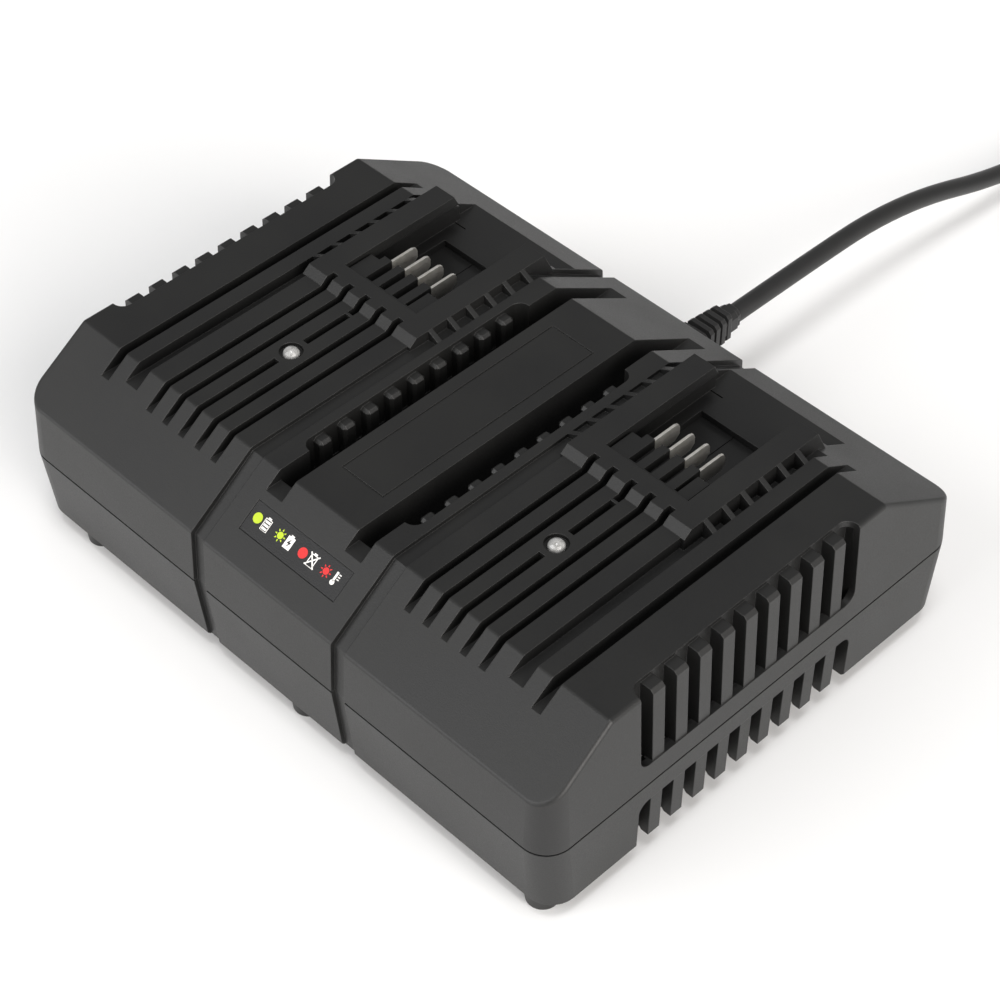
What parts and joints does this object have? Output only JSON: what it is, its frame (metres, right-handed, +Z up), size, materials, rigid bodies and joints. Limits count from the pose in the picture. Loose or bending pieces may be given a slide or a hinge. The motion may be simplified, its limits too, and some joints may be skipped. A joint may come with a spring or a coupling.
{
  "type": "power tool battery charger",
  "caption": "Low black charger with two side-by-side bays for slide-on tool battery packs, finned vents, sloped front with a status legend, and a mains lead at the rear.",
  "frame": {"origin": "on the resting surface, under the middle of the case without its lead", "axes": "+X along the long side, +Y towards the rear where the lead leaves, +Z up"},
  "size_m": [0.24, 0.5377, 0.0759],
  "materials": {
    "housing_black": "fine spark texture",
    "terminal_plastic": "smooth matte",
    "contact_plate": "nickel plate",
    "lens_clear": "frosted dome",
    "lamp": "clear resin",
    "legend_film": "printed film",
    "board_laminate": "solder mask",
    "core_steel": "laminated",
    "winding_tape": "tape",
    "ferrite": "matte",
    "capacitor_sleeve": "sleeve",
    "heat_sink_aluminium": "as extruded",
    "transistor_resin": "moulded",
    "fuse_body": "moulded",
    "screw_steel": "zinc plated",
    "foot_rubber": "matte",
    "cord_rubber": "matte jacket",
    "plug_rubber": "moulded",
    "pin_brass": "nickel flash"
  },
  "bodies": {
    "root": {"upper_housing": "housing_black", "lower_housing": "housing_black", "left_terminal_block": "terminal_plastic", "right_terminal_block": "terminal_plastic", "left_terminal_carrier": "terminal_plastic", "right_terminal_carrier": "terminal_plastic", "left_terminal_blades": "contact_plate", "right_terminal_blades": "contact_plate", "left_status_lens": "lens_clear", "right_status_lens": "lens_clear", "left_status_lamp": "lamp", "right_status_lamp": "lamp", "legend_plate": "legend_film", "circuit_board": "board_laminate", "transformer_core": "core_steel", "transformer_winding": "winding_tape", "mains_filter_choke": "ferrite", "capacitors": "capacitor_sleeve", "heat_sink": "heat_sink_aluminium", "power_transistors": "transistor_resin", "mains_fuse": "fuse_body", "housing_screws": "screw_steel", "board_screws": "screw_steel", "rubber_feet": "foot_rubber", "strain_relief_boot": "cord_rubber", "mains_cord": "cord_rubber", "cord_coil": "cord_rubber", "plug_body": "plug_rubber", "plug_pins": "pin_brass"}
  },
  "joints": []
}
